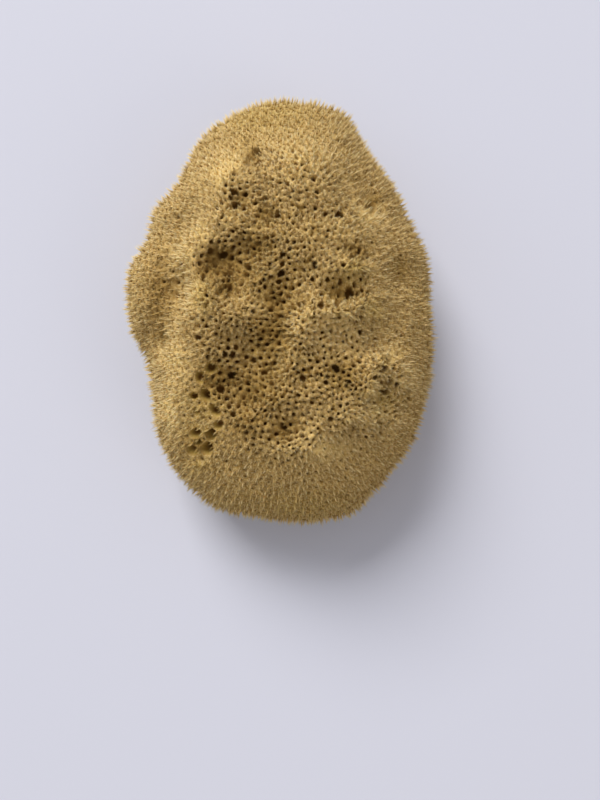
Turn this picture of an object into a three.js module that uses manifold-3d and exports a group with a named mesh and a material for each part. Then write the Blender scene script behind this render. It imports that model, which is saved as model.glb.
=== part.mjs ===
// A natural bath sponge, lying on the flat face where it was cut from its rock.
//
// The sponge grew as one mass, so it is one solid: an egg-shaped dome with a lobe on its left
// side, and hollows, ridges and a long winding valley across its crown. The surface is
// the envelope through the tips of the fibre tufts, so nothing of the real sponge stands proud
// of it.
//
// Millimetres. +Z is up from the cut face, +Y runs along the sponge to its narrow end, and the
// origin is the middle of the bounding box on the cut face.

import * as THREE from "three";
import { mergeVertices } from "three/addons/utils/BufferGeometryUtils.js";
import Module from "manifold-3d";

// Driving dimensions.
const LENGTH = 165; // along Y, over the tuft tips
const WIDTH = 121; // along X, over the tuft tips
const HEIGHT = 64; // from the cut face to the crown
const WIDEST_AT = 22; // height of the widest level above the cut face
const UNDERCUT = 36; // how far the rounded underside would reach below the widest level uncut
const FULLNESS = 0.86; // below 1 the flanks stay full and the crown is broad
const FACET_DETAIL = 21; // divisions of each edge of the icosahedron
const SHORTEST = 1e-3; // points nearer than this are one point

// The widest level seen from above: angle in degrees from +X towards +Y, and radius.
const OUTLINE = [
  [0, 58.2],
  [12, 60],
  [22, 62.3],
  [35, 61.3],
  [48, 67],
  [60, 72],
  [73, 81.3],
  [85, 82],
  [97, 81.6],
  [109, 77.5],
  [121, 68.5],
  [131, 61.5],
  [138, 61.5],
  [145, 61.5],
  [151, 58.5],
  [158, 58],
  [168, 58.8],
  [180, 57],
  [191, 56.8],
  [202, 55],
  [215, 59.5],
  [229, 69.5],
  [242, 76.7],
  [254, 81.2],
  [265, 82.3],
  [277, 84],
  [289, 84],
  [298, 79.5],
  [306, 77],
  [314, 73],
  [325, 67.4],
  [337, 63.8],
  [349, 60.2],
];

// Swellings and hollows. Each follows a path of [x, y] points seen from above, fades out over
// its reach to either side, and raises the surface by its rise, or sinks it where rise is below 0.
const RELIEF = [
  { name: "upper groove", path: [[-11, 58], [-10, 50], [-13, 34]], reach: 5, rise: -2.5 },
  { name: "foot of the groove", path: [[-12, 34], [-7, 27]], reach: 6, rise: -2.5 },
  { name: "main hollow", path: [[-24, 11], [-18, 13], [-16, 4]], reach: 7.5, rise: -6 },
  { name: "arm of the hollow", path: [[-14, 12], [-8, 18]], reach: 6, rise: -2.5 },
  { name: "valley", path: [[1, 3], [-4, -2], [-3, -14], [-7, -24], [-12, -34]], reach: 7, rise: -5 },
  { name: "arm of the valley", path: [[-14, -18], [-20, -28]], reach: 5, rise: -3.5 },
  { name: "long ridge", path: [[5, -13], [10, -8], [28, -5]], reach: 6.5, rise: 5 },
  { name: "knob above the ridge", path: [[24, 6], [28, 10]], reach: 5, rise: 3 },
  { name: "pit above the ridge", path: [[19, 1], [25, 3]], reach: 4.5, rise: -5 },
  { name: "right pits", path: [[22, 17], [29, 15]], reach: 5, rise: -3 },
  { name: "middle bank", path: [[-5, 9], [2, 22]], reach: 8, rise: 1 },
  { name: "left bank", path: [[-33, 14], [-28, 0], [-33, -8]], reach: 6, rise: 2.5 },
  { name: "lower left bank", path: [[-38, -20], [-34, -36]], reach: 7, rise: 2 },
  { name: "cleft by the lobe", path: [[-36, 28], [-42, 15], [-38, 4]], reach: 5.5, rise: -5.5 },
  { name: "foot of the cleft", path: [[-38, 4], [-38, -5], [-45, -14]], reach: 5.5, rise: -4 },
  { name: "lobe", path: [[-55, 18], [-58, 2]], reach: 9, rise: 2 },
  { name: "right dimple", path: [[33, -12], [35, -16]], reach: 7, rise: -3 },
  { name: "right hollow", path: [[38, 17], [44, 10]], reach: 7, rise: -3 },
  { name: "lower pit", path: [[-1, -46], [5, -43]], reach: 5, rise: -3.5 },
  { name: "lower right pit", path: [[34, -36], [38, -33]], reach: 4.5, rise: -2.5 },
  { name: "lower right bank", path: [[30, -38], [28, -30], [34, -22], [42, -27]], reach: 5, rise: 3 },
  { name: "lower swelling", path: [[6, -54], [20, -42]], reach: 9, rise: 2.5 },
  { name: "upper right dimple", path: [[27, 38], [33, 36]], reach: 5, rise: -2.5 },
  { name: "upper left swelling", path: [[-18, 47], [-20, 38]], reach: 6, rise: 1.2 },
  { name: "crown", path: [[10, 40], [20, 24]], reach: 18, rise: 2 },
];
const RELIEF_FADE = 14; // the relief fades in over this height above the widest level

// A gentle unevenness of growth over the whole surface: waves that cross each other.
const SWELLS = [
  { along: [0.85, 0.35, 0.4], length: 43, rise: 0.5, start: 0.8 },
  { along: [-0.35, 0.8, 0.5], length: 34, rise: 0.45, start: 2.1 },
  { along: [0.3, -0.6, 0.75], length: 29, rise: 0.4, start: 4.4 },
  { along: [0.6, 0.65, -0.45], length: 23, rise: 0.35, start: 5.6 },
];

// Radius of the widest level at an angle, along a smooth closed curve through OUTLINE.
const outlineCurve = new THREE.CatmullRomCurve3(
  OUTLINE.map(([degrees, radius]) => {
    const angle = THREE.MathUtils.degToRad(degrees);
    return new THREE.Vector3(radius * Math.cos(angle), radius * Math.sin(angle), 0);
  }),
  true,
  "centripetal",
);
const OUTLINE_STEPS = 720;
const outlinePoints = outlineCurve.getPoints(OUTLINE_STEPS).map((p) => ({
  angle: (Math.atan2(p.y, p.x) + 2 * Math.PI) % (2 * Math.PI),
  radius: Math.hypot(p.x, p.y),
}));
outlinePoints.sort((a, b) => a.angle - b.angle);

function outlineRadius(angle) {
  const wanted = (angle + 2 * Math.PI) % (2 * Math.PI);
  let after = outlinePoints.findIndex((p) => p.angle >= wanted);
  if (after < 0) after = 0;
  const a = outlinePoints.at(after - 1);
  const b = outlinePoints[after];
  const turn = 2 * Math.PI;
  const span = (b.angle - a.angle + turn) % turn || 1;
  return THREE.MathUtils.lerp(a.radius, b.radius, ((wanted - a.angle + turn) % turn) / span);
}

// Distance from a point to a path of [x, y] points, seen from above.
function distanceToPath(x, y, path) {
  let nearest = Infinity;
  for (let i = 1; i < path.length; i++) {
    const [ax, ay] = path[i - 1];
    const [dx, dy] = [path[i][0] - ax, path[i][1] - ay];
    const along = THREE.MathUtils.clamp(((x - ax) * dx + (y - ay) * dy) / (dx * dx + dy * dy), 0, 1);
    nearest = Math.min(nearest, Math.hypot(x - ax - along * dx, y - ay - along * dy));
  }
  return nearest;
}

function reliefAt(point) {
  let rise = 0;
  for (const feature of RELIEF) {
    const share = distanceToPath(point.x, point.y, feature.path) / feature.reach;
    rise += feature.rise * Math.exp(-share * share);
  }
  rise *= THREE.MathUtils.smoothstep(point.z, WIDEST_AT, WIDEST_AT + RELIEF_FADE);
  for (const swell of SWELLS) {
    const along = point.dot(new THREE.Vector3(...swell.along));
    rise += swell.rise * Math.sin((2 * Math.PI * along) / swell.length + swell.start);
  }
  return rise;
}

// Where a direction from the middle meets the surface.
function surfacePoint(direction) {
  const level = Math.max(Math.hypot(direction.x, direction.y), SHORTEST);
  const radius = outlineRadius(Math.atan2(direction.y, direction.x)) * level ** (FULLNESS - 1);
  const rise = direction.z > 0 ? HEIGHT - WIDEST_AT : UNDERCUT;
  const point = new THREE.Vector3(
    direction.x * radius,
    direction.y * radius,
    WIDEST_AT + rise * Math.sign(direction.z) * Math.abs(direction.z) ** FULLNESS,
  );
  const outwards = new THREE.Vector3(
    point.x / (WIDTH / 2) ** 2,
    point.y / (LENGTH / 2) ** 2,
    (point.z - WIDEST_AT) / rise ** 2,
  ).normalize();
  return point.addScaledVector(outwards, reliefAt(point));
}

function grownBody() {
  const body = new THREE.IcosahedronGeometry(1, FACET_DETAIL);
  body.deleteAttribute("normal");
  body.deleteAttribute("uv");
  const places = body.getAttribute("position");
  const direction = new THREE.Vector3();
  for (let i = 0; i < places.count; i++) {
    direction.fromBufferAttribute(places, i).normalize();
    places.setXYZ(i, ...surfacePoint(direction));
  }
  return mergeVertices(body, SHORTEST);
}

const wasm = await Module();
wasm.setup();

function solidOf(geometry) {
  return new wasm.Manifold(
    new wasm.Mesh({
      numProp: 3,
      vertProperties: new Float32Array(geometry.getAttribute("position").array),
      triVerts: new Uint32Array(geometry.index.array),
    }),
  );
}

function geometryOf(solid) {
  const mesh = solid.getMesh();
  return new THREE.BufferGeometry()
    .setAttribute("position", new THREE.BufferAttribute(mesh.vertProperties, 3))
    .setIndex(new THREE.BufferAttribute(mesh.triVerts, 1));
}

// Everything below the cut face is left on the rock.
function belowTheCut() {
  const rock = new THREE.BoxGeometry(2 * LENGTH, 2 * LENGTH, LENGTH);
  rock.deleteAttribute("normal");
  rock.deleteAttribute("uv");
  rock.translate(0, 0, -LENGTH / 2);
  return mergeVertices(rock, SHORTEST);
}

// Brings the box to its stated size and centres it over the origin.
function fitted(geometry) {
  geometry.computeBoundingBox();
  const size = geometry.boundingBox.getSize(new THREE.Vector3());
  const middle = geometry.boundingBox.getCenter(new THREE.Vector3());
  geometry.translate(-middle.x, -middle.y, 0);
  return geometry.scale(WIDTH / size.x, LENGTH / size.y, HEIGHT / size.z);
}

const material = new THREE.MeshStandardMaterial({ color: 0xc9a96e, roughness: 0.95, metalness: 0 });
const sponge = new THREE.Mesh(
  fitted(geometryOf(solidOf(grownBody()).subtract(solidOf(belowTheCut())))),
  material,
);
sponge.name = "sponge";

const part = new THREE.Group();
part.add(sponge);

export default part;
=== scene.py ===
"""A natural bath sponge, lying on the flat face where it was cut from its rock.

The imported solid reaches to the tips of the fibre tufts. Here the sponge is made as it grew: a body
whose surface is a close net of pores, and fibre tufts that stand on the net's junctions and reach
the solid's surface.
"""

import math

import bmesh
import bpy
import numpy as np
from mathutils import Matrix, Vector, kdtree, noise
from mathutils.bvhtree import BVHTree


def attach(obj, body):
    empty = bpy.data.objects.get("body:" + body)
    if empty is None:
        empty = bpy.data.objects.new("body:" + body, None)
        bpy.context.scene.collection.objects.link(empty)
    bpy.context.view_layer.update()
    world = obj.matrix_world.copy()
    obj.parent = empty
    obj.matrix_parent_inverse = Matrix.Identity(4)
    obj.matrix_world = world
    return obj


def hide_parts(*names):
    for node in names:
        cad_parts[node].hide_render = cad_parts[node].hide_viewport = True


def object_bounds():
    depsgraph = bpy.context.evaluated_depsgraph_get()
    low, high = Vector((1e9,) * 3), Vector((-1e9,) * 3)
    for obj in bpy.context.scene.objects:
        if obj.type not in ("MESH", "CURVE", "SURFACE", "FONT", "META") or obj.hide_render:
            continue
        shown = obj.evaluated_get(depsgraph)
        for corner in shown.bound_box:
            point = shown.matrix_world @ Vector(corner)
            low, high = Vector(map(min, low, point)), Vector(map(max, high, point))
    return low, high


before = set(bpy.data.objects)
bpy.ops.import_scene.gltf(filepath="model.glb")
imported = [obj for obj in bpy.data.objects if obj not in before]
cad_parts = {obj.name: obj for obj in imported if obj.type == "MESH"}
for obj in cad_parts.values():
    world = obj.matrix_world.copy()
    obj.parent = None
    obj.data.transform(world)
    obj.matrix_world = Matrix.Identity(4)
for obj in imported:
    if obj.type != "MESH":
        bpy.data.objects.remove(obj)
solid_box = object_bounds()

MM = 0.001
SEED = 11

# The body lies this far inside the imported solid, to leave room for the tufts.
FLANK_ROOM = 3.3 * MM
CROWN_ROOM = 2.1 * MM
SKIN_STEP = 0.62 * MM  # mesh size of the skin that the net is drawn on
SAME_PLACE = 0.001 * MM

CROWN_HEIGHTS = (28 * MM, 42 * MM)  # the crown fades in between these heights
CUT_HEIGHT = 0.4 * MM  # the skin below this height is the cut face

# Unevenness of the body: how far a swelling rises, and how wide it is.
BROAD_SWELL = (1.3 * MM, 8 * MM)
FINE_SWELL = (0.9 * MM, 4.2 * MM)
LEAST_ROOM = 0.7 * MM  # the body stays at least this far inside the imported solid

# Pores: the least distance between two neighbours' middles.
CROWN_PORE_GAP = 1.94 * MM
FLANK_PORE_GAP = 2.7 * MM
CUT_PORE_GAP = 3.6 * MM
GAP_SPREAD = (0.72, 1.32)  # the pores' own differences
WALL = 0.9 * MM  # between a big pore's rim and the middle of the next pore
OPEN_NET = 0.35  # the net stands open where the crown's share is above this

# Walls of the net, in mm: how high they wave and how wide one wave is, and how far their corners stray.
WALL_WAVE = 0.4
WALL_WAVE_WIDTH = 1.1
CORNER_STRAY = 0.14
CORNER_SHIFT = 0.17
LOWEST_CONE = 2 * MM  # there are none below this height

# A pore's lip against its rim, its throat against its lip, and how deep both lie in mm.
CROWN_LIP = (0.15, 0.72)
FLANK_LIP = (0.14, 0.32)
CUT_LIP = (0.4, 0.7)
LIP_DROP = (0.15, 0.4)
CUT_LIP_DROP = 0.05
THROAT = (0.6, 0.85)
THROAT_DROP = (1.5, 2.9)
PORE_LEAN = 0.12 * MM  # how far the lip lies to one side of the rim

# How deep in a pore each ring of its corners counts as, for the painted shade that darkens the pores inside.
LIP_SHADE = 0.3
BOWL_SHADE = 0.35
CROWN_THROAT_SHADE = 1.0
FLANK_THROAT_SHADE = 0.6

RING_RADII = (0.48, 0.34, 0.2, 0.1)  # of a pore laid out flat in a square of 1, from its rim inwards

# How far and how many ways the painted shade looks for sheltering banks around a place.
SHELTER_REACH = 11 * MM
SHELTER_RAYS = 24
GOLDEN_ANGLE = math.pi * (3 - math.sqrt(5))  # between two of those rays, seen from above
DIP_SHADE = 0.12 / MM  # painted shade that a dip adds to the shelter, by its depth

# Cones that the walls rise to: the least distance between two, and their heights.
CONE_GAP = 1.65 * MM
CONE_HEIGHT = (0.6, 1.5)  # mm

# Tufts: the least distance between two, and their lengths from a cone.
CROWN_TUFT_GAP = 1.2 * MM
FLANK_TUFT_GAP = 1.18 * MM
CROWN_TUFT = 1.5 * MM
FLANK_TUFT = 3.1 * MM
BETWEEN_CONES = 0.75  # length of the tufts there
FUR_LEAN = 0.95  # how far the flank's tufts lean downhill, against standing straight out
ROOT_DEPTH = 0.4 * MM  # how far the fibres start inside the walls
LOWEST_FIBRE = 0.02 * MM  # they stay this far above the cut face

# Fibres around each spike, for the tufts on cones and then for those between cones: lengths of the two
# close ones against the spike's, the spread of the tips in mm, the count of strays, and the radius in mm.
FLANK_BUNCHES = [((0.8, 0.6), 0.15, 4, 0.11), ((0.7, 0.5), 0.15, 0, 0.09)]
CROWN_BUNCHES = [((0.92, 0.75), 0.22, 12, 0.08), ((0.92, 0.75), 0.2, 3, 0.07)]

# How far up a whole fibre's colours each kind's tips come, on the flanks and on the crown. Below them the
# root's colour, with its painted shade, holds on.
REACH = {"spikes": (1.3, 1.3), "flank_tufts": (0.6, 0.6), "crown_tufts": (1, 1), "fuzz": (0.15, 0.8)}

SPIKE_PIECES = 1
FLANK_PIECES = 2
CROWN_PIECES = 1
FUZZ_PIECES = 2

# Where the tufts are longest and palest: middles, half widths and half lengths from above, in mm.
# The paleness is partly the fibre's own and partly painted light that lifts shaded slopes such as the
# ridge's.
FLUFFY = [
    (9, -10, 7, 5), (19, -6, 9, 5), (19, -14, 12, 6), (-16, 38, 7, 5), (-26, 22, 6, 5), (28, -5, 5, 4),
    (26, 9, 5, 4), (34, -22, 7, 5), (42, -28, 5, 7), (31, -32, 4, 4), (30, -41, 11, 7),
    (12, -50, 13, 6), (-19, 44, 7, 9), (-18, 28, 6, 5), (-33, 14, 6, 6), (-28, 0, 4, 7),
    (-36, -22, 5, 8), (6, 45, 12, 10), (20, 22, 8, 8), (-38, -38, 5, 9), (30, 28, 6, 6), (-8, -4, 4, 4),
]

# Patches of painted shade over the darkest hollows, and their half widths and half lengths from above, in mm.
SHADE_PATCHES = [
    (-18, 10, 12, 9), (-9, 17, 6, 5), (-2, -2, 7, 9), (-4, -15, 7, 10), (-10, -30, 10, 8),
    (-22, -30, 8, 8), (1, -45, 6, 4), (-10.5, 51, 3, 6), (-13, 34, 3, 3), (-5, 28, 4, 4), (20, 0, 4, 4),
    (26, 16, 6, 3), (-43, 3, 5, 16), (-30, -51, 7, 5), (20, -26, 6, 5), (-12, -44, 8, 6),
    (33, 36, 4, 3), (43, 12, 4, 6),
]
DEEP_SHADE = 0.38  # the painted shade that these patches add to the shelter

# Where the fibre is yellowest, in the same way.
YELLOW = [
    (-26, -37, 7, 6), (-27, -46, 6, 6), (-29, -57, 5, 4), (-26, 0, 3, 6), (35, -35, 5, 4),
    (31, -4, 4, 4), (-6, 70, 20, 10), (10, -74, 30, 6), (24, 8, 5, 4), (-23, -26, 4, 4),
]

# Where the net lies open and the tufts are short: middles and half widths and lengths from above.
CROWN = [
    (2 * MM, -2 * MM, 30.5 * MM, 54 * MM),
    (25 * MM, -32 * MM, 20 * MM, 17 * MM),
]

# Big pores on the crown, in mm from above: x, y, radius and depth.
BOWLS = 12  # the first rows are wide bowls with an inner hole
BIG_PORES = [
    # the cluster low on the left
    (-30.5, -34.5, 1.7, 4), (-26.4, -34.5, 2.2, 6), (-24, -39.5, 2.4, 4), (-32, -48, 2.1, 4),
    (-26.3, -48.7, 2.1, 6), (-30.5, -51.3, 1.3, 5), (-27.6, -54, 2.4, 6), (-33.5, -54, 2.2, 4),
    (-22.8, -44.3, 1.6, 3), (-28.5, -28, 1.3, 3), (-23, -25.5, 1.7, 4), (-30.5, -41, 1.2, 3),
    # dark holes beside it
    (-17.5, -27.5, 1.2, 5), (-20, -30.5, 1.1, 5), (-18.5, -21.5, 0.9, 4), (-15.5, -21.5, 0.8, 3),
    # the pit in the lower middle
    (-0.5, -45, 0.9, 5),
    # along the upper groove
    (-10, 49, 1.0, 4), (-4, 48.5, 0.9, 4), (-14.5, 33, 1.0, 4), (-15, 37, 0.9, 3),
    (-10.5, 53.5, 1.1, 4), (-8, 34, 1.1, 5), (-3, 28, 1.1, 4),
    # in the main hollow
    (-19.5, 14, 1.3, 6), (-17, 9.5, 1.1, 5), (-17, 5, 1.0, 4), (-21.5, 5.5, 1.0, 4), (-26, 8.5, 0.9, 4),
    # across the middle
    (-0.5, 12, 1.0, 5), (-1, 6, 0.9, 5), (10, 8.5, 0.8, 4), (5.5, -2, 1.0, 5), (6, -28.5, 0.9, 4),
    (19, -24.5, 0.9, 4), (21.5, -28.5, 0.8, 4),
    # on the right
    (25, 15, 1.2, 4), (28.7, 14.5, 1.2, 3), (19.5, -1.2, 1.4, 5), (13.5, -2.5, 1.2, 3), (30, 0, 1.2, 3),
    (22.3, 2.3, 1.3, 5), (20, 29, 0.9, 3), (11, 27.5, 0.7, 2), (34, 35.5, 1.0, 3), (30, -5.5, 1.0, 3),
    (37, -26.5, 1.2, 5), (34, -28.5, 1.0, 4), (38.5, -31, 1.1, 4), (33.6, -36.6, 0.9, 5),
    (37.2, -33, 0.9, 4),
]

# Hollows finer than the solid's own, in mm from above: x, y, radius and depth. A bank's depth is negative.
DIPS = [
    (-10.5, 53, 1.8, 2.2), (-9.5, 49.5, 1.6, 1.6), (-4, 49, 1.6, 1.0), (-14, 34.5, 2.0, 1.4),
    (-15, 31.5, 1.6, 1.4), (-8.5, 34, 2.2, 1.6), (-8, 28, 2.6, 1.8), (-18, 55, 2.4, 1.2),
    (-36, 27, 3.0, 1.6), (-20, 13.5, 3.8, 3.2), (-25, 10, 3.0, 1.8), (-10, 17, 3.0, 1.6),
    (-17, 4, 3.0, 2.4), (-13, 9, 2.6, 1.4), (-42, 15, 2.6, 1.6), (-38, 5, 2.8, 1.6),
    (-45, -5, 3.0, 1.2), (-45, -14, 3.2, 1.8), (-37.5, -5, 2.6, 1.6), (0, 12, 2.0, 1.6),
    (1, 2, 1.8, 1.4), (6, -1, 2.0, 1.2), (-4, -1, 2.6, 1.4), (4, 8, 2.4, 1.0), (9, 8, 2.4, 0.9),
    (20, 0.5, 2.8, 3.0), (25, 3, 2.2, 1.6), (13.5, -3, 1.9, 1.6), (27, 15.5, 2.8, 2.4),
    (23, 17.5, 1.8, 1.8), (30.5, -5.5, 1.5, 2.0), (30.5, 6, 2.0, 1.6), (33, -13, 3.0, 0.5),
    (30, 0, 2.2, 1.6), (-4, -13, 3.2, 1.8), (-2, -8, 2.4, 1.4), (0, -15, 2.0, 1.6),
    (-17, -17, 2.4, 1.4), (-11, -22, 2.6, 1.4), (-5, -24, 2.4, 1.8), (-18, -28, 2.6, 2.6),
    (-23, -24.5, 2.2, 1.6), (-24, -30, 2.0, 1.2), (-28, -34, 2.8, 1.8), (-24, -39, 2.4, 1.6),
    (-13, -35, 3.2, 1.8), (-8, -34, 2.6, 1.4), (-17, -45, 2.4, 1.0), (-28, -53, 3.0, 1.2),
    (-32, -48, 2.4, 0.8), (-0.5, -45.5, 2.2, 1.8), (5, -43, 2.0, 1.4), (-7, -42, 2.2, 1.0),
    (6, -28, 2.4, 1.6), (19, -24.5, 2.0, 1.4), (21.5, -28, 1.8, 1.2), (13, -35.5, 2.0, 1.0),
    (18, -44, 2.0, 1.0), (36, -34.5, 2.0, 0.8), (37, -26, 1.8, 1.4), (34, -29, 1.4, 1.6),
    (43, 11, 3.0, 1.2), (44, 33, 2.4, 1.0), (33, 36, 2.8, 1.6), (25, 39, 1.6, 1.4), (26, -46, 2.4, 1.2),
    (36, 20, 2.6, 1.0), (12, 60, 2.6, 0.8), (-17, 45, 3.6, -1.0), (-33, 14, 3.0, -0.9),
    (-5, 8, 2.8, -0.9), (26, 9, 3.0, -1.0), (20, -6, 3.4, -1.0), (10, -7, 3.0, -1.0),
    (5, -12.5, 3.2, -0.9), (28, -3, 2.4, -0.9), (-33, -5, 2.8, -0.8), (-37, -20, 4.0, -0.6),
    (35, -22, 2.6, -0.6), (31, -32.5, 2.4, -0.6), (20, -38, 3.6, -0.8), (2, -36, 3.0, -0.4),
    (-26, 2, 2.4, -0.9), (-26, -4, 2.2, -0.7), (33, 29, 3.0, -0.7), (-12, -5, 3.0, -0.7),
    (14, -14, 3.0, -0.6),
]

rng = np.random.default_rng(SEED)


# ---------------------------------------------------------------- meshes


def new_object(name, bm):
    """A new object in the scene that holds the bmesh."""
    mesh = bpy.data.meshes.new(name)
    bm.to_mesh(mesh)
    bm.free()
    obj = bpy.data.objects.new(name, mesh)
    bpy.context.scene.collection.objects.link(obj)
    return obj


def finished_mesh(obj):
    """The object's mesh after its modifiers. The object is removed."""
    seen = obj.evaluated_get(bpy.context.evaluated_depsgraph_get())
    mesh = bpy.data.meshes.new_from_object(seen)
    bpy.data.objects.remove(obj)
    return mesh


def places_of(mesh):
    places = np.empty(len(mesh.vertices) * 3, np.float32)
    mesh.vertices.foreach_get("co", places)
    return places.reshape(-1, 3).astype(float)


def normals_of(mesh):
    normals = np.empty(len(mesh.vertices) * 3, np.float32)
    mesh.vertex_normals.foreach_get("vector", normals)
    return normals.reshape(-1, 3).astype(float)


def smoothstep(low, high, value):
    share = np.clip((value - low) / (high - low), 0, 1)
    return share * share * (3 - 2 * share)


def unit(vectors):
    return vectors / np.maximum(np.linalg.norm(vectors, axis=-1, keepdims=True), 1e-12)


def painted(mesh, name, values):
    """Stores one number on each corner of the mesh, for its material."""
    mesh.attributes.new(name, "FLOAT", "POINT").data.foreach_set("value", np.asarray(values, np.float32))


# ---------------------------------------------------------------- the skin


def tip_skin():
    """The surface that the tuft tips reach, as one fine even mesh."""
    bm = bmesh.new()
    bm.from_mesh(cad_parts["sponge"].data)
    bmesh.ops.remove_doubles(bm, verts=bm.verts, dist=SAME_PLACE)
    skin = new_object("skin", bm)
    rounded = skin.modifiers.new("rounded", "SUBSURF")
    rounded.levels = 2
    rounded.render_levels = 2
    even = skin.modifiers.new("even", "REMESH")
    even.mode = "VOXEL"
    even.voxel_size = SKIN_STEP
    return finished_mesh(skin)


def out_of_crown(places):
    """How far out each place lies from above: 0 in the middle of the crown and 1 at its edge."""
    out = np.full(len(places), np.inf)
    for x, y, wide, long in CROWN:
        out = np.minimum(out, np.hypot((places[:, 0] - x) / wide, (places[:, 1] - y) / long))
    return out + 0.12 * field(places, 14 * MM, 9)


def crown_share(places):
    """1 on the crown, where the net lies open, and 0 on the flanks, where the fur is long."""
    return (1 - smoothstep(0.8, 1.15, out_of_crown(places))) * smoothstep(*CROWN_HEIGHTS, places[:, 2])


def crown_tint(places):
    """The crown's share for the colour, which changes more gently."""
    return (1 - smoothstep(0.35, 1.15, out_of_crown(places))) * smoothstep(*CROWN_HEIGHTS, places[:, 2])


def share_of(patches, places):
    """1 in the middle of the crown's patches and 0 off them."""
    share = np.zeros(len(places))
    for x, y, wide, long in patches:
        out = np.hypot((places[:, 0] / MM - x) / wide, (places[:, 1] / MM - y) / long)
        share = np.maximum(share, np.exp(-(out ** 2)))
    return share * smoothstep(*CROWN_HEIGHTS, places[:, 2])


def field(places, size, seed):
    """Smooth noise from about -1 to 1 at each place, which changes over the given size."""
    shift = Vector((seed, 2 * seed, 3 * seed))
    return np.array([noise.noise(Vector(place) / size + shift) for place in places.tolist()])


def on_top(tree, places, x, y):
    """The highest place of the skin over x, y. The tree is flat_tree's of the places."""
    over = [index for _, index, _ in tree.find_range((x, y, 0), 1.5 * SKIN_STEP)]
    return places[max(over, key=lambda index: places[index, 2])]


def flat_tree(places):
    """A tree of the places as seen from above."""
    return tree_of(places * (1, 1, 0))


def body_skin(mesh):
    """Draws the tip skin in by the tufts' room, with its unevenness and the dips that it returns."""
    places = places_of(mesh)
    normals = normals_of(mesh)
    crown = crown_share(places)
    draw = FLANK_ROOM + (CROWN_ROOM - FLANK_ROOM) * crown
    rise, width = BROAD_SWELL
    draw += rise * (0.5 + field(places, width, 1) * (0.5 + 0.5 * crown))
    rise, width = FINE_SWELL
    draw += rise * field(places, width, 2) * (0.4 + 0.6 * crown)
    above = flat_tree(places)
    dip = np.zeros(len(places))
    for x, y, radius, depth in DIPS:
        middle = on_top(above, places, x * MM, y * MM)
        away = np.linalg.norm(places - middle, axis=1) / (radius * MM)
        dip += depth * MM * np.exp(-(away ** 3))
    draw = np.maximum(draw + dip, LEAST_ROOM)
    inwards = -normals * draw[:, None]
    inwards[:, 2] *= smoothstep(0.5 * MM, 5 * MM, places[:, 2])  # the cut face stays at its height
    places += inwards
    mesh.vertices.foreach_set("co", places.astype(np.float32).ravel())
    mesh.update()
    return dip


# ---------------------------------------------------------------- the net of pores


def scattered(places, gaps, order):
    """Picks places in the given order, each at least its own gap from all the ones picked before."""
    size = gaps.max()
    rooms = {}
    picked = []
    spots = places.tolist()
    keys = np.floor(places / size).astype(int).tolist()
    near = [(a, b, c) for a in (-1, 0, 1) for b in (-1, 0, 1) for c in (-1, 0, 1)]
    gaps = (gaps * gaps).tolist()
    for index in order:
        x, y, z = spots[index]
        i, j, k = keys[index]
        gap = gaps[index]
        free = True
        for a, b, c in near:
            for px, py, pz in rooms.get((i + a, j + b, k + c), ()):
                if (px - x) ** 2 + (py - y) ** 2 + (pz - z) ** 2 < gap:
                    free = False
                    break
            if not free:
                break
        if free:
            rooms.setdefault((i, j, k), []).append((x, y, z))
            picked.append(index)
    return picked


def tree_of(places):
    tree = kdtree.KDTree(len(places))
    for index, place in enumerate(places):
        tree.insert(place, index)
    tree.balance()
    return tree


def nearest_to(tree, places):
    """For each place, the index of the nearest point of the tree and the distance to it."""
    found = [tree.find(place) for place in places.tolist()]
    return np.array([row[1] for row in found]), np.array([row[2] for row in found])


def pores_on(places):
    """For each place of the skin, the pore that it belongs to."""
    above = flat_tree(places)
    big = np.array([on_top(above, places, x * MM, y * MM) for x, y, _, _ in BIG_PORES])
    reach = np.array([(radius + 0.1) * MM for _, _, radius, _ in BIG_PORES])
    away = np.stack([np.linalg.norm(places - middle, axis=1) for middle in big], 1) - reach
    nearest_big = away.argmin(1)
    away = away.min(1)
    gaps = FLANK_PORE_GAP + (CROWN_PORE_GAP - FLANK_PORE_GAP) * crown_share(places)
    gaps = np.where(places[:, 2] < CUT_HEIGHT, CUT_PORE_GAP, gaps * (1 + 0.16 * field(places, 6 * MM, 4)))
    gaps *= rng.uniform(*GAP_SPREAD, len(places))
    order = rng.permutation(len(places))
    picked = scattered(places, gaps, order[away[order] > WALL].tolist())
    middles = places[picked]
    owner, far = nearest_to(tree_of(middles), places)
    taken = away < far - WALL / 2
    owner[taken] = len(middles) + nearest_big[taken]
    return owner


def made_whole(skin, owner):
    """Gives the stray islands of a pore to the pores around them, so that each pore is one area."""
    edges = np.empty(len(skin.edges) * 2, np.int32)
    skin.edges.foreach_get("vertices", edges)
    edges = edges.reshape(-1, 2)
    group = list(range(len(owner)))

    def first_of(index):
        while group[index] != index:
            group[index] = group[group[index]]
            index = group[index]
        return index

    for one, other in edges[owner[edges[:, 0]] == owner[edges[:, 1]]].tolist():
        group[first_of(one)] = first_of(other)
    area = np.array([first_of(index) for index in range(len(owner))])
    size = np.bincount(area, minlength=len(owner))
    largest = {}
    for start in np.unique(area).tolist():
        pore = int(owner[start])
        if size[start] > size[largest.get(pore, start)] or pore not in largest:
            largest[pore] = start
    stray = area != np.array([largest[pore] for pore in owner.tolist()])
    while stray.any():
        border = edges[stray[edges[:, 0]] != stray[edges[:, 1]]]
        border = np.where(stray[border[:, :1]], border, border[:, ::-1])
        owner[border[:, 0]] = owner[border[:, 1]]
        stray[border[:, 0]] = False
    return owner


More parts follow.
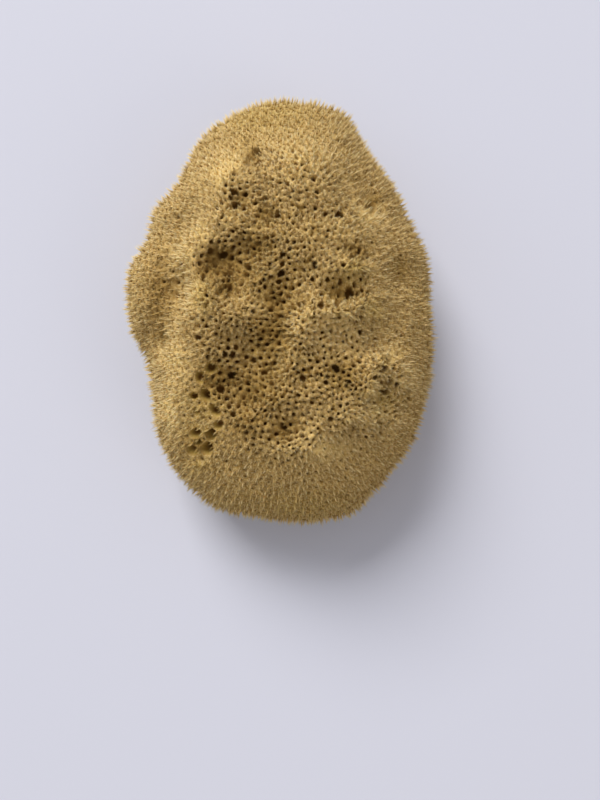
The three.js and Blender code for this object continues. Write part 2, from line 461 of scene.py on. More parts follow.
def net_of(skin, owner):
    """The skin drawn together at the pores' middles, so that its faces join three pores each."""
    places = places_of(skin)
    counts = np.bincount(owner)
    middles = np.stack([np.bincount(owner, places[:, axis]) for axis in range(3)], 1)
    middles /= np.maximum(counts, 1)[:, None]
    bm = bmesh.new()
    bm.from_mesh(skin)
    bm.verts.ensure_lookup_table()
    first = {}
    targets = {}
    for vert, pore in zip(bm.verts, owner.tolist()):
        if pore in first:
            targets[vert] = first[pore]
        else:
            first[pore] = vert
    bmesh.ops.weld_verts(bm, targetmap=targets)
    for pore, vert in first.items():
        vert.co = middles[pore]
    bmesh.ops.triangulate(bm, faces=bm.faces)
    bmesh.ops.recalc_face_normals(bm, faces=bm.faces)
    return new_object("net", bm), middles[-len(BIG_PORES) :]


def turned_to_cells(net):
    """Swaps faces and corners: each pore becomes a face, and three pores meet at each corner."""
    group = bpy.data.node_groups.new("cells", "GeometryNodeTree")
    for way in ("INPUT", "OUTPUT"):
        group.interface.new_socket("Geometry", in_out=way, socket_type="NodeSocketGeometry")
    enter = group.nodes.new("NodeGroupInput")
    dual = group.nodes.new("GeometryNodeDualMesh")
    leave = group.nodes.new("NodeGroupOutput")
    group.links.new(enter.outputs[0], dual.inputs[0])
    group.links.new(dual.outputs[0], leave.inputs[0])
    net.modifiers.new("cells", "NODES").node_group = group
    return finished_mesh(net)


def shelter(places, normals, skin):
    """How much of the sky over each place the skin around it hides, from 0 to 1."""
    bm = bmesh.new()
    bm.from_mesh(skin)
    around = BVHTree.FromBMesh(bm)
    bm.free()
    turns = np.arange(SHELTER_RAYS) * GOLDEN_ANGLE
    rises = np.sqrt((np.arange(SHELTER_RAYS) + 0.5) / SHELTER_RAYS)
    sky = np.stack([rises * np.cos(turns), rises * np.sin(turns), np.sqrt(1 - rises * rises)], 1)
    hidden = np.zeros(len(places))
    for index, (place, normal) in enumerate(zip(places.tolist(), normals.tolist())):
        up = Vector(normal)
        turn = up.to_track_quat("Z", "Y").to_matrix()
        start = Vector(place) + up * 0.6 * MM
        for ray in sky.tolist():
            if around.ray_cast(start, turn @ Vector(ray), SHELTER_REACH)[0] is not None:
                hidden[index] += 1
    return hidden / SHELTER_RAYS


def roughened(cells):
    """The net with uneven walls that rise to a cone at many of its junctions."""
    bm = bmesh.new()
    bm.from_mesh(cells)
    open_net = crown_share(np.array([vert.co[:] for vert in bm.verts])) > OPEN_NET
    bm.verts.ensure_lookup_table()
    inner = [edge for edge in bm.edges if all(open_net[vert.index] for vert in edge.verts)]
    bmesh.ops.subdivide_edges(bm, edges=inner, cuts=1)
    bm.verts.index_update()
    bm.verts.ensure_lookup_table()
    bm.normal_update()
    places = np.array([vert.co[:] for vert in bm.verts])
    count = len(places)
    crown = crown_share(places)
    sunk = np.array([len(vert.link_edges) == 2 for vert in bm.verts]) * rng.uniform(0, 0.35, count)
    waves = field(places, WALL_WAVE_WIDTH * MM, 3) * WALL_WAVE
    rises = waves + rng.normal(0, CORNER_STRAY, count) * crown - sunk
    junctions = np.array([vert.index for vert in bm.verts if len(vert.link_edges) == 3])
    gaps = CONE_GAP * rng.uniform(0.85, 1.25, len(junctions))
    cones = junctions[scattered(places[junctions], gaps, rng.permutation(len(junctions)).tolist())]
    heights = rng.uniform(*CONE_HEIGHT, len(cones)) * (0.6 + 0.4 * crown[cones])
    cone = bm.verts.layers.float.new("cone")
    for index, height in zip(cones.tolist(), heights.tolist()):
        rises[index] += height
        bm.verts[index][cone] = 1.0
        for edge in bm.verts[index].link_edges:
            rises[edge.other_vert(bm.verts[index]).index] += 0.2 * height
    aside = rng.normal(0, CORNER_SHIFT, (count, 3)) * crown[:, None]
    for vert, rise, move in zip(bm.verts, rises.tolist(), aside.tolist()):
        if vert.co.z > LOWEST_CONE:
            vert.co += (vert.normal * rise + Vector(move)) * MM
        elif vert.co.z < CUT_HEIGHT:
            vert.co.z = 0.0
    bm.normal_update()
    mesh = bpy.data.meshes.new("walls")
    bm.to_mesh(mesh)
    bm.free()
    return mesh


# ---------------------------------------------------------------- the body


def drawn_in(bm, cells, share, drop, round_share, aside):
    """Gives each cell a new ring of corners: share of its width, drop below its rim, moved aside."""
    rims = [[vert.co.copy() for vert in cell.verts] for cell in cells]
    middles = [cell.calc_center_median() for cell in cells]
    downs = [-cell.normal for cell in cells]
    bmesh.ops.inset_individual(bm, faces=cells, thickness=0.01 * MM, use_even_offset=False)
    for cell, rim, middle, down, part, depth, move in zip(cells, rims, middles, downs, share, drop, aside):
        arms = [corner - middle for corner in rim]
        width = sum(arm.length for arm in arms) / len(arms)
        middle += Vector(move)
        for vert, arm in zip(cell.verts, arms):
            reach = (1 - round_share) * arm.length + round_share * width
            vert.co = middle + arm.normalized() * reach * part + down * depth


def marked(bm, layer, start, value):
    """Writes value on every corner made since start, and returns the count of corners now."""
    bm.verts.ensure_lookup_table()
    for vert in bm.verts[start:]:
        vert[layer] = value
    bm.normal_update()
    return len(bm.verts)


def unwrapped(bm, rings):
    """Lays each pore out flat in a square of its own: its rings become rings around the square's middle."""
    flat = bm.loops.layers.uv.new("OFBake")
    row = math.ceil(math.sqrt(len(rings)))
    for index, pore in enumerate(rings):
        middle = Vector((index % row + 0.5, index // row + 0.5))
        spots = {}
        for level, ring in enumerate(pore):
            for place, vert in enumerate(ring):
                turn = 2 * math.pi * place / len(ring)
                out = RING_RADII[level]
                spots[vert] = (middle + Vector((out * math.cos(turn), out * math.sin(turn)))) / row
        for vert in sum(pore[1:], []):
            for face in vert.link_faces:
                for loop in face.loops:
                    loop[flat].uv = spots[loop.vert]


class PoreSizes:
    """What shapes each pore of the body: its lip, its throat, and how far they lie to one side."""

    def __init__(self, middles, sheltered, big):
        many = len(middles)
        on_cut = middles[:, 2] < CUT_HEIGHT
        tree, hidden = sheltered
        self.crown = crown_share(middles)
        bank = 1 - smoothstep(0.02, 0.2, hidden[nearest_to(tree, middles)[0]])
        bank = np.maximum(0.6 * bank, share_of(FLUFFY, middles))
        open_lip = rng.normal(0.5, 0.13, many) + 0.08 * field(middles, 5 * MM, 6) - 0.2 * bank
        on_crown = self.crown > OPEN_NET
        self.lip = np.where(on_crown, np.clip(open_lip, *CROWN_LIP), rng.uniform(*FLANK_LIP, many))
        self.lip[on_cut] = rng.uniform(*CUT_LIP, on_cut.sum())
        self.throat_drop = rng.uniform(*THROAT_DROP, many)
        self.lip_drop = np.where(on_cut, CUT_LIP_DROP, rng.uniform(*LIP_DROP, many))
        self.throat = rng.uniform(*THROAT, many)
        depths = np.array(BIG_PORES)[:, 3]
        self.lip[big] = 0.9
        self.lip_drop[big] = 0.15
        self.throat[big] = 0.8
        self.throat_drop[big[:BOWLS]] = 0.3 * depths[:BOWLS]
        self.throat_drop[big[BOWLS:]] = 0.7 * depths[BOWLS:]
        self.lean = rng.normal(0, 1, (many, 3)) * PORE_LEAN
        self.lean[big[:BOWLS]] = 0.0
        self.lean[on_cut, 2] = 0.0


def grown_body(walls, sheltered, big_middles):
    """The body: each cell of the net becomes a pore with a rounded lip, a throat and a floor."""
    bm = bmesh.new()
    bm.from_mesh(walls)
    # Each corner's depth in its pore, which sets the painted shade down in the pores.
    depth = bm.verts.layers.float.new("depth")
    pores = list(bm.faces)
    middles = np.array([pore.calc_center_median()[:] for pore in pores])
    big = nearest_to(tree_of(middles), big_middles)[0]
    sizes = PoreSizes(middles, sheltered, big)

    rings = [[list(pore.verts)] for pore in pores]
    crests = marked(bm, depth, 0, 0.0)
    drawn_in(bm, pores, sizes.lip, sizes.lip_drop * MM, 0.25, sizes.lean)
    for ring, pore in zip(rings, pores):
        ring.append(list(pore.verts))
    lips = marked(bm, depth, crests, LIP_SHADE)
    drawn_in(bm, pores, sizes.throat, sizes.throat_drop * MM, 0.4, sizes.lean * 1.5)
    throats = marked(bm, depth, lips, CROWN_THROAT_SHADE)
    shades = FLANK_THROAT_SHADE + (CROWN_THROAT_SHADE - FLANK_THROAT_SHADE) * sizes.crown
    for ring, pore, shade in zip(rings, pores, shades.tolist()):
        ring.append(list(pore.verts))
        for vert in pore.verts:
            vert[depth] = shade

    # The wide bowls have an inner hole.
    bowls = [pores[index] for index in big[:BOWLS]]
    for bowl in bowls:
        for vert in bowl.verts:
            vert[depth] = BOWL_SHADE
    aside = rng.normal(0, 0.25, (BOWLS, 3)) * MM
    drops = 0.5 * np.array(BIG_PORES)[:BOWLS, 3] * MM
    drawn_in(bm, bowls, rng.uniform(0.4, 0.6, BOWLS), drops, 0.6, aside)
    marked(bm, depth, throats, 1.0)
    for index in big[:BOWLS]:
        rings[index].append(list(pores[index].verts))
    unwrapped(bm, rings)

    ochre = bm.verts.layers.float.new("ochre")
    for bowl in bowls:
        for vert in bowl.verts:
            for edge in vert.link_edges:
                for end in edge.verts:
                    end[ochre] = 1.0
    for face in bm.faces:
        face.smooth = True
    return new_object("sponge_body", bm)


# ---------------------------------------------------------------- the tufts


def strand(sides, rings):
    """A closed fibre along Z, 1 long and 1 in radius at its root, tapering to a point."""
    bm = bmesh.new()
    bmesh.ops.create_cone(bm, segments=sides, radius1=1, radius2=0, depth=1, cap_ends=True)
    bmesh.ops.translate(bm, verts=bm.verts, vec=(0, 0, 0.5))
    for ring in range(1, rings):
        level = ring / rings
        bmesh.ops.bisect_plane(
            bm, geom=bm.verts[:] + bm.edges[:] + bm.faces[:], plane_co=(0, 0, level), plane_no=(0, 0, 1)
        )
    for vert in bm.verts:
        # Full at the root, and pointed only near the tip.
        if 0 < vert.co.z < 0.99:
            vert.co.xy *= 1 + vert.co.z
    bm.verts.ensure_lookup_table()
    places = np.array([vert.co[:] for vert in bm.verts])
    faces = [[vert.index for vert in face.verts] for face in bm.faces]
    flat = [laid_out(face, sides) for face in bm.faces]
    bm.free()
    return places, faces, np.concatenate(flat)


def laid_out(face, sides):
    """Where the corners of a fibre's face lie in a square: along the fibre and around it."""
    if max(vert.co.z for vert in face.verts) == 0:
        return np.stack([np.linspace(0, 0.05, sides), np.linspace(0, 1, sides) ** 2], 1)
    turns = [round(math.atan2(vert.co.y, vert.co.x) / (2 * math.pi) * sides) % sides for vert in face.verts]
    around = [turn for turn, vert in zip(turns, face.verts) if vert.co.z < 0.99]
    wraps = max(around) - min(around) > 1
    around = [turn + sides if wraps and turn == 0 else turn for turn in around]
    middle = sum(around) / len(around)
    left = iter(around)
    rows = [(0.1 + 0.9 * vert.co.z, next(left) if vert.co.z < 0.99 else middle) for vert in face.verts]
    return np.array(rows) / (1, sides)


def copies(template, roots, tips, bends, widths):
    """Places of all the copies of a fibre, each from its root to its tip, arched by its bend."""
    places = template[0]
    along = tips - roots
    side = unit(np.cross(along, [0.31, 0.17, 0.93]))
    other = unit(np.cross(along, side))
    level = places[:, 2]
    arch = (4 * level * (1 - level))[None, :, None]
    made = roots[:, None] + along[:, None] * level[None, :, None] + bends[:, None] * arch
    made += side[:, None] * (places[:, 0] * widths[:, None])[..., None]
    made += other[:, None] * (places[:, 1] * widths[:, None])[..., None]
    return made


def joined(name, template, made, kept):
    """One mesh of all the copies, with the numbers kept for each of them."""
    count, corners = made.shape[:2]
    sizes = [len(face) for face in template[1]]
    loops = np.concatenate([np.array(face) for face in template[1]])
    mesh = bpy.data.meshes.new(name)
    mesh.vertices.add(count * corners)
    mesh.vertices.foreach_set("co", made.astype(np.float32).ravel())
    mesh.loops.add(count * len(loops))
    index = loops[None] + corners * np.arange(count)[:, None]
    mesh.loops.foreach_set("vertex_index", index.astype(np.int32).ravel())
    mesh.polygons.add(count * len(sizes))
    starts = np.cumsum([0] + sizes[:-1])[None] + len(loops) * np.arange(count)[:, None]
    mesh.polygons.foreach_set("loop_start", starts.astype(np.int32).ravel())
    mesh.update(calc_edges=True)
    mesh.validate()
    painted(mesh, "height", (template[0][:, 2] * kept.pop("reach")[:, None]).ravel())
    row = math.ceil(math.sqrt(count))
    squares = np.stack([np.arange(count) % row, np.arange(count) // row], 1)
    flat = (squares[:, None] + 0.05 + 0.9 * template[2]) / row
    mesh.uv_layers.new(name="OFBake").uv.foreach_set("vector", flat.astype(np.float32).ravel())
    for number, values in kept.items():
        painted(mesh, number, np.repeat(values, corners))
    mesh.shade_smooth()
    obj = bpy.data.objects.new(name, mesh)
    bpy.context.scene.collection.objects.link(obj)
    return obj


def stands(walls):
    """Places on the walls off the cut face: place, normal, wall ends around and whether it is a cone."""
    bm = bmesh.new()
    bm.from_mesh(walls)
    long = [edge for edge in bm.edges if edge.calc_length() > 0.9 * MM]
    bmesh.ops.subdivide_edges(bm, edges=long, cuts=1)
    bm.normal_update()
    cone = bm.verts.layers.float["cone"]
    rows = []
    for vert in bm.verts:
        ends = [edge.other_vert(vert).co[:] for edge in vert.link_edges]
        if vert.co.z > 0.8 * MM and len(ends) > 1:
            rows.append([vert.co[:], vert.normal[:], ends[0], ends[1], ends[-1], [vert[cone]] * 3])
    bm.free()
    return np.array(rows)


class Fibres:
    """Fibres gathered one bunch at a time: roots, tips, bends and radii at the root."""

    def __init__(self):
        self.rows = []

    def add(self, root, tip, bend, width):
        self.rows.append((root, tip, bend, width))

    def gathered(self):
        return [np.concatenate(column) for column in zip(*self.rows)]


def wild(count, size):
    """Random moves of about size mm."""
    return rng.normal(0, size * MM, (count, 3))


class Tufts:
    """Where the tufts may stand on the walls, which way they point and how long they are."""

    def __init__(self, walls, sheltered):
        rows = stands(walls)
        self.places, self.normals, self.ends = rows[:, 0], unit(rows[:, 1]), rows[:, 2:5]
        self.cone = rows[:, 5, 0] > 0.75
        self.crown = crown_share(self.places)
        count = len(self.places)
        gaps = FLANK_TUFT_GAP + (CROWN_TUFT_GAP - FLANK_TUFT_GAP) * self.crown
        order = np.argsort(rng.random(count) - self.cone)
        self.main = np.array(scattered(self.places, gaps * rng.uniform(0.85, 1.25, count), order.tolist()))
        self.ways = self.pointed(count)
        self.long = self.lengths(count, sheltered)

    def pointed(self, count):
        """Which way the tufts point: outwards, in drifts, and downhill on the flanks."""
        lean = np.stack([field(self.places, 12 * MM, seed) for seed in (7, 8, 10)], 1) * 0.35
        downhill = unit(self.places * (1 / solid_box[1].x ** 2, 1 / solid_box[1].y ** 2, 0))
        lean += downhill * ((1 - self.crown) * np.clip(self.normals[:, 2], 0, 1) * FUR_LEAN)[:, None]
        stray = (0.09 + 0.14 * self.crown)[:, None]
        return unit(self.normals + lean + rng.normal(0, 1, (count, 3)) * stray)

    def lengths(self, count, sheltered):
        tree, hidden = sheltered
        bank = 1 - smoothstep(-0.02, 0.14, hidden[nearest_to(tree, self.places)[0]])
        crown_tuft = CROWN_TUFT * (1 + 0.25 * bank + 0.65 * share_of(FLUFFY, self.places))
        crown_tuft *= rng.uniform(0.7, 1.3, count)
        long = (FLANK_TUFT + (crown_tuft - FLANK_TUFT) * self.crown) * rng.uniform(0.75, 1.05, count)
        return long * np.where(self.cone, 1, BETWEEN_CONES)

    def spikes(self):
        """The middle spike of each tuft, and on the flanks a thinner one at its side."""
        fibres = Fibres()
        chosen = self.main
        n = len(chosen)
        place, normal = self.places[chosen], self.normals[chosen]
        tip = place + self.ways[chosen] * self.long[chosen][:, None]
        wide = (0.17 - 0.05 * self.crown[chosen]) * rng.uniform(0.8, 1.2, n) * (1 + 0.25 * self.cone[chosen])
        fibres.add(place - normal * ROOT_DEPTH, tip, wild(n, 0.1), wide * MM)
        chosen = chosen[self.crown[chosen] < 0.4]
        n = len(chosen)
        place = self.places[chosen] + wild(n, 0.45)
        reach = self.long[chosen][:, None] * rng.uniform(0.8, 1, (n, 1))
        tip = place + self.ways[chosen] * reach + wild(n, 0.2)
        root = place - self.normals[chosen] * ROOT_DEPTH
        fibres.add(root, tip, wild(n, 0.1), rng.uniform(0.09, 0.13, n) * MM)
        return fibres

    def add_bunches(self, fibres, chosen, shares, spread, strays, wide):
        """Adds fibres that close up to each spike, climbers from the walls around it, and strays."""
        n = len(chosen)
        place, normal = self.places[chosen], self.normals[chosen]
        reach = self.ways[chosen] * self.long[chosen][:, None]
        for share in shares:
            root = place + wild(n, 0.2) - normal * ROOT_DEPTH
            tip = place + reach * share * rng.uniform(0.9, 1.08, (n, 1)) + wild(n, spread)
            fibres.add(root, tip, wild(n, 0), rng.uniform(1, 1.4, n) * wide * MM)
        for turn in range(3):
            arm = self.ends[chosen, turn] - place
            root = place + arm * rng.uniform(0.25, 0.7, (n, 1)) - normal * 0.3 * MM
            tip = place + reach * rng.uniform(0.4, 0.7, (n, 1)) + wild(n, spread)
            fibres.add(root, tip, wild(n, 0), rng.uniform(0.9, 1.3, n) * wide * MM)
        for _ in range(strays):
            root = place + wild(n, 0.3) - normal * 0.3 * MM
            tip = place + reach * rng.uniform(0.35, 0.85, (n, 1)) + wild(n, 0.45)
            fibres.add(root, tip, wild(n, 0), rng.uniform(0.7, 1, n) * wide * MM)

    def bunches(self, here, kinds):
        """The fibres around the spikes here: on cones and then between them."""
        fibres = Fibres()
        for on_cone, kind in zip((self.cone[self.main], ~self.cone[self.main]), kinds):
            self.add_bunches(fibres, self.main[here & on_cone], *kind)
        return fibres

    def fuzz(self):
        """Fuzz on all the walls between the tufts, closer on the crown."""
        fibres = Fibres()
        for turn in range(3):
            arm = self.ends[:, turn] - self.places
            for _ in range(2):
                chosen = np.flatnonzero(rng.random(len(self.places)) < 0.33 + 0.37 * self.crown)
                n = len(chosen)
                crown, normal = self.crown[chosen], self.normals[chosen]
                root = self.places[chosen] + arm[chosen] * rng.uniform(0, 0.5, (n, 1)) - normal * 0.25 * MM
                high = rng.uniform(0.6, 1.35, n) * (1.5 - 0.5 * crown)
                way = normal + 0.6 * self.ways[chosen]
                tip = root + way * high[:, None] * 0.65 * MM + wild(n, 0.3)
                fibres.add(root, tip, wild(n, 0), rng.uniform(0.5, 0.8, n) * (0.12 - 0.02 * crown) * MM)
        return fibres


def grown_tufts(walls, sheltered):
    """All the fibre meshes."""
    tufts = Tufts(walls, sheltered)
    fuzz = tufts.fuzz()
    inner = tufts.crown[tufts.main] > 0.5
    flank = tufts.bunches(~inner, FLANK_BUNCHES)
    crown = tufts.bunches(inner, CROWN_BUNCHES)
    return [
        *pieces_of("spikes", tufts.spikes(), strand(3, 2), SPIKE_PIECES, sheltered),
        *pieces_of("flank_tufts", flank, strand(3, 1), FLANK_PIECES, sheltered),
        *pieces_of("crown_tufts", crown, strand(3, 1), CROWN_PIECES, sheltered),
        *pieces_of("fuzz", fuzz, strand(3, 1), FUZZ_PIECES, sheltered),
    ]


def off_bowls(places):
    """Whether each place lies outside the bowls, seen from above."""
    clear = np.ones(len(places), bool)
    for x, y, radius, _ in BIG_PORES[:BOWLS]:
        clear &= np.hypot(places[:, 0] - x * MM, places[:, 1] - y * MM) > (radius - 0.2) * MM
    return clear | (places[:, 2] < solid_box[1].z / 2)


def pieces_of(name, fibres, template, many, sheltered):
    """The fibres as a few meshes, sorted from the low end of the sponge to its high end."""
    roots, tips, bends, widths = fibres.gathered()
    order = np.argsort(roots[:, 1], kind="stable")
    order = order[off_bowls(roots[order]) & off_bowls(tips[order])]
    roots = roots[order]
    made = copies(template, roots, tips[order], bends[order], widths[order])
    made[..., 2] = np.maximum(made[..., 2], LOWEST_FIBRE)
    tree, hidden = sheltered
    low, high = REACH[name]
    kept = {
        "shelter": hidden[nearest_to(tree, roots)[0]],
        "crown": crown_tint(roots),
        "reach": low + (high - low) * crown_share(roots),
        "fluffy": share_of(FLUFFY, roots),
        "yellow": share_of(YELLOW, roots),
        "luck": rng.random(len(roots)),
    }
    return [
        joined(f"{name}_{number}", template, made[part], {key: values[part] for key, values in kept.items()})
        for number, part in enumerate(np.array_split(np.arange(len(made)), many), 1)
    ]


# ---------------------------------------------------------------- materials


class Value:
    """A shader socket that Python operators work on."""

    def __init__(self, tree, socket):
        self.tree = tree
        self.socket = socket

    def maths(self, operation, *values):
        return self.tree.node("ShaderNodeMath", {"operation": operation}, *values)

    def __add__(self, other):
        return self.maths("ADD", self, other)

    def __radd__(self, other):
        return self.maths("ADD", other, self)

    def __sub__(self, other):
        return self.maths("SUBTRACT", self, other)

    def __rsub__(self, other):
        return self.maths("SUBTRACT", other, self)

    def __mul__(self, other):
        return self.maths("MULTIPLY", self, other)

    def __rmul__(self, other):
        return self.maths("MULTIPLY", other, self)

    def __pow__(self, other):
        return self.maths("POWER", self, other)


class Finish:
    """A material under construction."""

    def __init__(self, name):
        self.material = bpy.data.materials.new(name)
        self.material.use_nodes = True
        self.nodes = self.material.node_tree.nodes
        self.links = self.material.node_tree.links
        self.shader = next(node for node in self.nodes if node.type == "BSDF_PRINCIPLED")

    def node(self, kind, settings=None, *values, output=0, **named):
        """Adds a node, sets it up and returns one of its outputs."""
        node = self.nodes.new(kind)
        for name, setting in (settings or {}).items():
            if name == "stops":
                ramp = node.color_ramp.elements
                while len(ramp) < len(setting):
                    ramp.new(1)
                for stop, (place, colour) in zip(ramp, setting):
                    stop.position = place
                    stop.color = (*colour, 1)
            else:
                setattr(node, name, setting)
        for place, value in [*enumerate(values), *named.items()]:
            key = place.replace("_", " ") if isinstance(place, str) else place
            self.give(node.inputs[key], value)
        return Value(self, node.outputs[output])

    def give(self, socket, value):
        if isinstance(value, Value):
            self.links.new(value.socket, socket)
        elif value is not None:
            socket.default_value = value

    def attribute(self, name):
        return self.node("ShaderNodeAttribute", {"attribute_name": name}, output="Fac")

    def faded(self, value, low, high, start=0.0, end=1.0):
        """Goes from start to end as the value goes from low to high, and no further."""
        return self.node("ShaderNodeMapRange", {}, value, low, high, start, end)

    def grain(self, size, detail=2.0, offset=(0, 0, 0)):
        """Noise from 0 to 1 whose patches are about this size."""
        place = self.node("ShaderNodeTexCoord", output="Object")
        moved = self.node("ShaderNodeVectorMath", {"operation": "ADD"}, place, offset)
        return self.node("ShaderNodeTexNoise", {}, Vector=moved, Scale=1 / size, Detail=detail, output="Fac")

    def mixed(self, share, one, other, kind="MIX"):
        """A colour that goes from one to the other as share goes from 0 to 1."""
        node = self.nodes.new("ShaderNodeMix")
        node.data_type = "RGBA"
        node.blend_type = kind
        self.give(node.inputs["Factor"], share)
        for name, colour in (("A", one), ("B", other)):
            socket = [s for s in node.inputs if s.name == name and s.type == "RGBA"][0]
            self.give(socket, colour if isinstance(colour, Value) else (*colour, 1))
        return Value(self, [s for s in node.outputs if s.type == "RGBA"][0])

    def set(self, **sockets):
        for name, value in sockets.items():
            self.give(self.shader.inputs[name.replace("_", " ")], value)

    def soften(self, weight, reach):
        """Lets light spread below the surface, the way a mass of pale fibre does."""
        self.set(Subsurface_Weight=weight, Subsurface_Radius=(1.0, 0.72, 0.4), Subsurface_Scale=reach)


PALE_FIBRE = (0.96, 0.79, 0.44)
STRAW = (0.71, 0.50, 0.185)
PALE_STRAW = (0.81, 0.59, 0.22)
OCHRE = (0.57, 0.375, 0.095)
# Painted shade down in the pores.
PORE_SHADE_BROWN = (0.17, 0.08, 0.006)
# Painted shade between fibres, in sheltered hollows and at the fibres' roots.
SHADE_BROWN = (0.27, 0.155, 0.025)
BOWL = (0.50, 0.35, 0.08)
YELLOW_OCHRE = (0.68, 0.49, 0.12)

# How wide the patches, gaps, flecks and fibres of the finish are, and how far its fibres rise.
PATCH = 14 * MM
GAP = 0.6 * MM
FLECK = 0.45 * MM
FIBRE = 0.35 * MM
FIBRE_RISE = 0.2 * MM


def wall_colour(finish):
    """Straw on the flanks and banks, ochre on the crown, and painted shade, ochre then brown, where banks
    shelter it.
    """
    patches = finish.grain(PATCH, 3) - 0.5
    shelter = finish.attribute("shelter")
    # Painted shade: the crown's ochre comes in where banks shelter a place.
    low = finish.faded(shelter, -0.05, 0.2, 0.1, 1.0)
    share = finish.node("ShaderNodeClamp", {}, finish.attribute("crown") * low + patches * 1.2)
    colour = finish.mixed(share, STRAW, OCHRE)
    # Paler where the tufts are fluffy: partly the fibre's own paleness, partly painted light on shaded
    # slopes.
    colour = finish.mixed(finish.attribute("fluffy"), colour, PALE_STRAW)
    colour = finish.mixed(0.6 * finish.attribute("yellow"), colour, YELLOW_OCHRE)
    # Painted shade in brown where banks shelter it.
    return finish.mixed(finish.faded(shelter, 0.1, 0.5, 0.0, 0.85), colour, SHADE_BROWN)


def body_finish():
    """The pore walls: brown painted shade between their fibres and down in the pores, and pale flecks of
    fibre.
    """
    finish = Finish("sponge_body")
    # Painted shade: brown in the gaps between fibres, less of it where the tufts are fluffy.
    gaps = finish.faded(finish.grain(GAP, 3), 0.4, 0.58, 1.0, 0.0)
    flecks = finish.faded(finish.grain(FLECK, 2, (0.1, 0, 0)), 0.5, 0.66, 0.0, 0.5)
    between = 0.45 - 0.2 * finish.attribute("crown") + 0.5 * gaps
    thin = 1 - 0.7 * finish.attribute("fluffy")
    colour = finish.mixed(between * thin, wall_colour(finish), SHADE_BROWN)
    # The pale flecks fade out in the painted shade of sheltered hollows.
    unshaded = 1 - finish.faded(finish.attribute("shelter"), 0.0, 0.5, 0.0, 0.8)
    colour = finish.mixed(flecks * unshaded, colour, PALE_FIBRE)
    colour = finish.mixed(finish.attribute("ochre"), colour, BOWL)
    # Painted shade down in the pores, by each ring's depth.
    shade = finish.faded(finish.attribute("depth"), 0.1, 1.0)
    finish.set(Base_Color=finish.mixed(shade, colour, PORE_SHADE_BROWN), Roughness=0.9)
    bump = finish.node("ShaderNodeBump", {}, Strength=0.6, Distance=FIBRE_RISE, Height=finish.grain(FIBRE, 2))
    finish.set(Normal=bump)
    finish.soften(0.2, 0.4 * MM)
    return finish.material


def tuft_finish():
    """The fibres: walls' colour and painted shade at the root, straw to pale at the tip, painted shade in
    hollows.
    """
    finish = Finish("tuft_fibre")
    fluffy = finish.attribute("fluffy")
    shelter = finish.attribute("shelter")
    # Painted shade: the roots darker brown, less where the tufts are fluffy.
    root = finish.mixed(0.4 - 0.3 * fluffy, wall_colour(finish), SHADE_BROWN)
    # Paler where the tufts are fluffy: partly the fibre's own paleness, partly painted light on shaded
    # slopes.
    pale = finish.attribute("luck") ** 1.2 + 0.7 * fluffy
    tip = finish.mixed(pale, STRAW, PALE_FIBRE)
    tip = finish.mixed(0.4 * finish.attribute("yellow"), tip, YELLOW_OCHRE)
    # Painted shade in the hollows: the tips dulled to ochre and then to brown.
    tip = finish.mixed(finish.faded(shelter, 0.05, 0.5, 0.0, 0.95), tip, OCHRE)
    tip = finish.mixed(finish.faded(shelter, 0.35, 0.8, 0.0, 0.5), tip, SHADE_BROWN)
    finish.set(Base_Color=finish.mixed(finish.attribute("height"), root, tip), Roughness=0.75)
    finish.soften(0.2, 0.12 * MM)
    return finish.material


# ---------------------------------------------------------------- the sponge

skin = tip_skin()
pores = made_whole(skin, pores_on(places_of(skin)))
dip = body_skin(skin)
net, big_middles = net_of(skin, pores)
walls = roughened(turned_to_cells(net))
spots = places_of(walls)
# How much sky the banks hide at each place, with painted shade added over the darkest hollows and the dips.
# It darkens the colours, and it also sets the lips and the tufts' lengths.
hidden = shelter(spots, normals_of(walls), skin)
hidden += DEEP_SHADE * share_of(SHADE_PATCHES, spots)
hidden += DIP_SHADE * dip[nearest_to(tree_of(places_of(skin)), spots)[0]]
sheltered = (tree_of(spots), hidden)

body = grown_body(walls, sheltered, big_middles)
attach(body, "root")
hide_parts("sponge")
spots = places_of(body.data)
painted(body.data, "shelter", hidden[nearest_to(sheltered[0], spots)[0]])
painted(body.data, "crown", crown_tint(spots))
painted(body.data, "fluffy", share_of(FLUFFY, spots))
painted(body.data, "yellow", share_of(YELLOW, spots))
body.data.materials.append(body_finish())

fibre = tuft_finish()
for piece in grown_tufts(walls, sheltered):
    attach(piece, "root")
    piece.data.materials.append(fibre)

# ---------------------------------------------------------------- floor, light and camera

FLOOR_REACH = 12  # metres from the sponge
AIM = Vector((0, 0, 0.030))  # the middle of the sponge, which the lights and the camera face

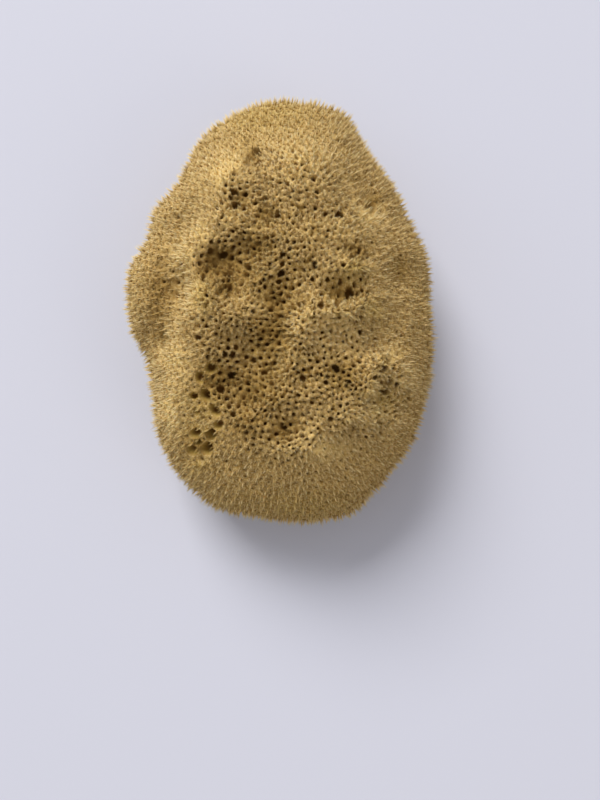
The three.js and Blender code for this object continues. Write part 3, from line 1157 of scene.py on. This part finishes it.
# Soft square lights: name, place and size in metres, watts and colour.
LIGHTS = [
    ("window", (-2.8, 5.2, 4.8), 4.0, 585.0, (1.0, 0.97, 0.94)),
    ("bounce", (-2.0, 0.7, 0.6), 1.6, 5.5, (0.80, 0.90, 1.0)),
    ("fill", (2.6, -2.2, 2.0), 2.0, 16.0, (1.0, 0.86, 0.66)),
]
ROOM_COLOUR = (0.97, 0.95, 0.97, 1)
ROOM_LIGHT = 0.42

LENS = 32.0
CAMERA_HEIGHT_ANGLE = 80.0  # degrees above the floor
CAMERA_DISTANCE = 0.2680
CAMERA_PITCH = -7.3  # degrees the camera is turned to put the sponge above the middle
CAMERA_YAW = -1.5


def pale_floor():
    bm = bmesh.new()
    bmesh.ops.create_grid(bm, x_segments=1, y_segments=1, size=FLOOR_REACH)
    floor = new_object("floor", bm)
    finish = Finish("pale_floor")
    finish.set(Base_Color=(0.625, 0.645, 0.745, 1), Roughness=0.8)
    floor.data.materials.append(finish.material)


def soft_light(name, place, size, power, colour):
    light = bpy.data.lights.new(name, "AREA")
    light.size = size
    light.energy = power
    light.color = colour
    lamp = bpy.data.objects.new(name, light)
    lamp.location = place
    lamp.rotation_euler = (Vector(place) - AIM).to_track_quat("Z", "Y").to_euler()
    bpy.context.scene.collection.objects.link(lamp)


def studio():
    world = bpy.data.worlds.new("studio")
    world.use_nodes = True
    background = world.node_tree.nodes["Background"]
    background.inputs["Color"].default_value = ROOM_COLOUR
    background.inputs["Strength"].default_value = ROOM_LIGHT
    bpy.context.scene.world = world
    bpy.context.scene.view_settings.view_transform = "Standard"
    for light in LIGHTS:
        soft_light(*light)


def camera_above():
    """Looks down on the sponge from its low end."""
    camera = bpy.data.cameras.new("camera")
    camera.lens = LENS
    seat = bpy.data.objects.new("camera", camera)
    bpy.context.scene.collection.objects.link(seat)
    angle = math.radians(CAMERA_HEIGHT_ANGLE)
    back = Vector((0, -math.cos(angle), math.sin(angle)))
    pitch = Matrix.Rotation(math.radians(CAMERA_PITCH), 4, "X")
    yaw = Matrix.Rotation(math.radians(CAMERA_YAW), 4, "Y")
    facing = back.to_track_quat("Z", "Y").to_matrix().to_4x4()
    seat.matrix_world = Matrix.Translation(AIM + back * CAMERA_DISTANCE) @ facing @ (pitch @ yaw)
    bpy.context.scene.camera = seat


pale_floor()
studio()
camera_above()
